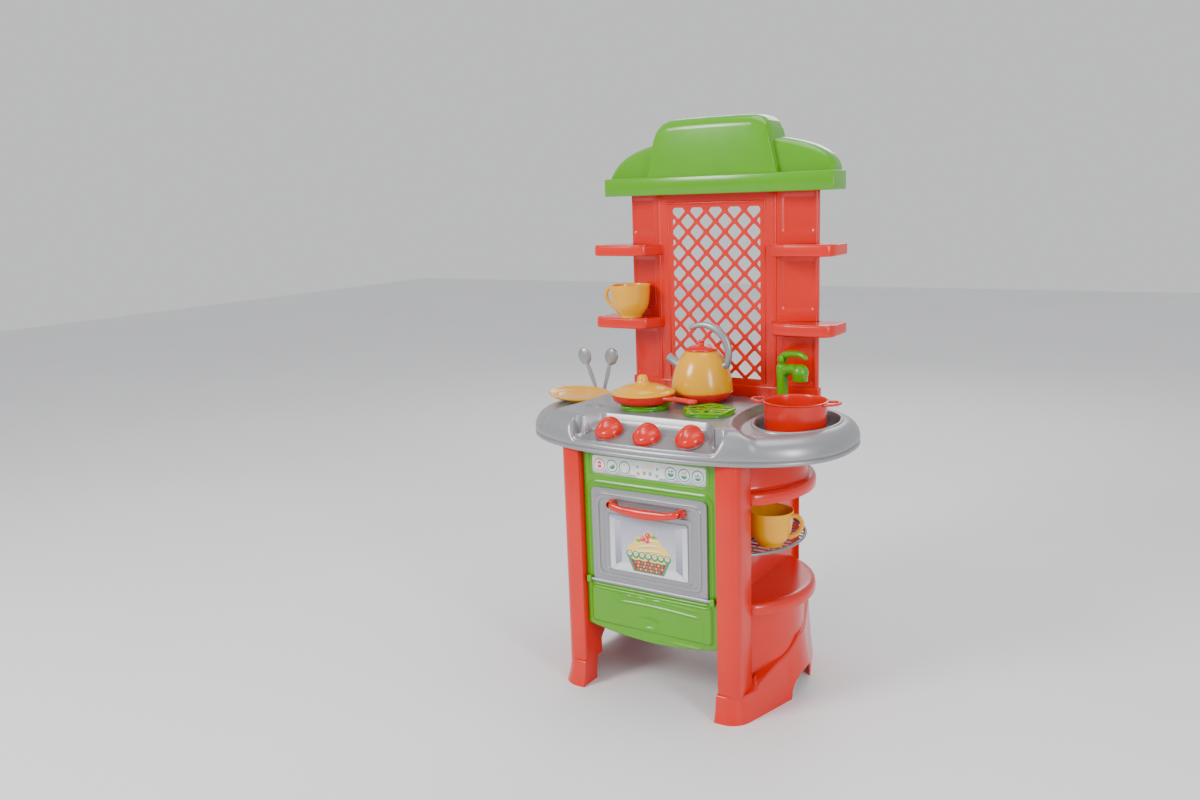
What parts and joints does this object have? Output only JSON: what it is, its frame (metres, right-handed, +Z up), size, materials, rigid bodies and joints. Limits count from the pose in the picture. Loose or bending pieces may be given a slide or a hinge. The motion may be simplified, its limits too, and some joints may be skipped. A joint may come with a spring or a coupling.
{
  "type": "toy kitchen",
  "caption": "Plastic play kitchen: cabinet with a bottom-hinged oven door, oval worktop with hob, knobs, tap and sink, lattice tower with shelves, hood, and loose cookware.",
  "frame": {"origin": "on the floor under the middle of the whole kitchen", "axes": "+X to the right along the front, +Y to the back, +Z up; the oven door faces -Y"},
  "size_m": [0.4998, 0.32, 0.828],
  "materials": {
    "red_plastic": "smooth moulded plastic, glossy",
    "green_plastic": "smooth moulded plastic, glossy",
    "silver_plastic": "metallic-look moulded plastic, satin",
    "yellow_plastic": "smooth moulded plastic, glossy",
    "printed_label": "printed glossy sticker"
  },
  "bodies": {
    "root": {"front_panel": "green_plastic", "control_label": "printed_label", "left_side_unit": "red_plastic", "right_side_unit": "red_plastic", "left_rack": "silver_plastic", "right_rack": "silver_plastic", "back_panel": "silver_plastic", "oven_shelf": "silver_plastic", "worktop": "silver_plastic", "left_burner": "green_plastic", "right_burner": "green_plastic", "tower": "red_plastic", "hood": "green_plastic"},
    "door": {"oven_door": "silver_plastic", "door_hinge_pins": "silver_plastic", "oven_window_label": "printed_label", "door_handle": "red_plastic"},
    "left_knob": {"knob_left": "red_plastic"},
    "middle_knob": {"knob_middle": "red_plastic"},
    "right_knob": {"knob_right": "red_plastic"},
    "tap": {"tap_body": "green_plastic"},
    "lever": {"tap_lever": "green_plastic"},
    "cup_on_shelf": {"upper_cup": "yellow_plastic"},
    "cup_on_rack": {"lower_cup": "yellow_plastic"},
    "kettle": {"kettle_base": "red_plastic", "kettle_body": "yellow_plastic", "kettle_spout": "silver_plastic", "kettle_handle": "silver_plastic"},
    "kettle_cover": {"kettle_lid": "red_plastic"},
    "pan": {"frying_pan": "red_plastic"},
    "pan_cover": {"pan_lid": "yellow_plastic"},
    "dish": {"plate": "yellow_plastic"},
    "spoon_a": {"left_spoon": "silver_plastic"},
    "spoon_b": {"right_spoon": "silver_plastic"},
    "saucepan": {"pot": "red_plastic"}
  },
  "joints": [
    {"name": "oven_door_hinge", "type": "hinge", "parent": "root", "child": "door", "pos_m": [0, -0.1332, 0.169], "axis": [1, 0, 0], "range_deg": [0, 90]},
    {"name": "left_knob_turn", "type": "hinge", "parent": "root", "child": "left_knob", "pos_m": [-0.0645, -0.123, 0.38981], "axis": [0, -0.3746, 0.9272], "continuous": true},
    {"name": "middle_knob_turn", "type": "hinge", "parent": "root", "child": "middle_knob", "pos_m": [0, -0.128, 0.38779], "axis": [0, -0.3746, 0.9272], "continuous": true},
    {"name": "right_knob_turn", "type": "hinge", "parent": "root", "child": "right_knob", "pos_m": [0.0645, -0.123, 0.38981], "axis": [0, -0.3746, 0.9272], "continuous": true},
    {"name": "tap_swivel", "type": "hinge", "parent": "root", "child": "tap", "pos_m": [0.116, 0.07, 0.402], "axis": [0, 0, 1], "range_deg": [-75, 10]},
    {"name": "tap_lever_tilt", "type": "hinge", "parent": "tap", "child": "lever", "pos_m": [0.116, 0.07, 0.4765], "axis": [-0.2924, -0.9563, 0], "range_deg": [0, 20]},
    {"name": "shelf_cup_lift_off", "type": "slide", "parent": "root", "child": "cup_on_shelf", "axis": [0, -1, 0], "range_m": [0, 0.06]},
    {"name": "rack_cup_lift_off", "type": "slide", "parent": "root", "child": "cup_on_rack", "axis": [1, 0, 0], "range_m": [0, 0.06]},
    {"name": "kettle_lift_off", "type": "slide", "parent": "root", "child": "kettle", "axis": [0, 0, 1], "range_m": [0, 0.06]},
    {"name": "kettle_lid_lift", "type": "slide", "parent": "kettle", "child": "kettle_cover", "axis": [0, 0, 1], "range_m": [0, 0.008]},
    {"name": "pan_lift_off", "type": "slide", "parent": "root", "child": "pan", "axis": [0, 0, 1], "range_m": [0, 0.05]},
    {"name": "pan_lid_lift", "type": "slide", "parent": "pan", "child": "pan_cover", "axis": [0, 0, 1], "range_m": [0, 0.04]},
    {"name": "plate_lift_off", "type": "slide", "parent": "root", "child": "dish", "axis": [0, 0, 1], "range_m": [0, 0.03]},
    {"name": "left_spoon_lift_out", "type": "slide", "parent": "root", "child": "spoon_a", "axis": [-0.3584, 0, 0.9336], "range_m": [0, 0.04]},
    {"name": "right_spoon_lift_out", "type": "slide", "parent": "root", "child": "spoon_b", "axis": [0.2756, 0, 0.9613], "range_m": [0, 0.04]},
    {"name": "pot_lift_off", "type": "slide", "parent": "root", "child": "saucepan", "axis": [0, 0, 1], "range_m": [0, 0.08]}
  ]
}
